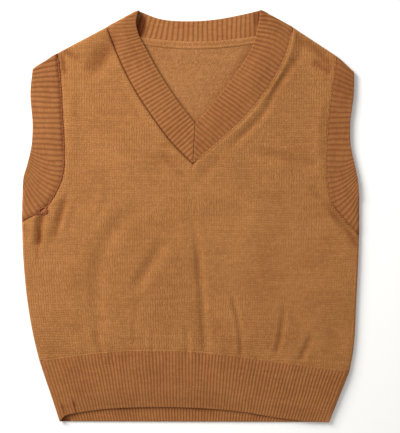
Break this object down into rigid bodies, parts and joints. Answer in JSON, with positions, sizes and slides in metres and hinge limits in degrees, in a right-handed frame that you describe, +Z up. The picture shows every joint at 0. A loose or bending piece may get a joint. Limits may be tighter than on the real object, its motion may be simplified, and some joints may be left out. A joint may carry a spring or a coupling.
{
  "type": "knitted sweater vest",
  "caption": "Sleeveless V-neck sweater vest in plain knit with ribbed neckband, armhole bands and hem, laid flat on its back.",
  "frame": {"origin": "on the surface the vest lies on, under the middle of its outline", "axes": "+Z up, out of the vest's front; +Y from the hem to the neck; +X towards the wearer's left side"},
  "size_m": [0.46, 0.5624, 0.0088],
  "materials": {
    "plain_knit": "matt",
    "rib_knit": "matt"
  },
  "bodies": {
    "root": {"front": "plain_knit", "back": "plain_knit", "neckband": "rib_knit", "armhole_band_left": "rib_knit", "armhole_band_right": "rib_knit", "hem_rib_front": "rib_knit", "hem_rib_back": "rib_knit"}
  },
  "joints": []
}
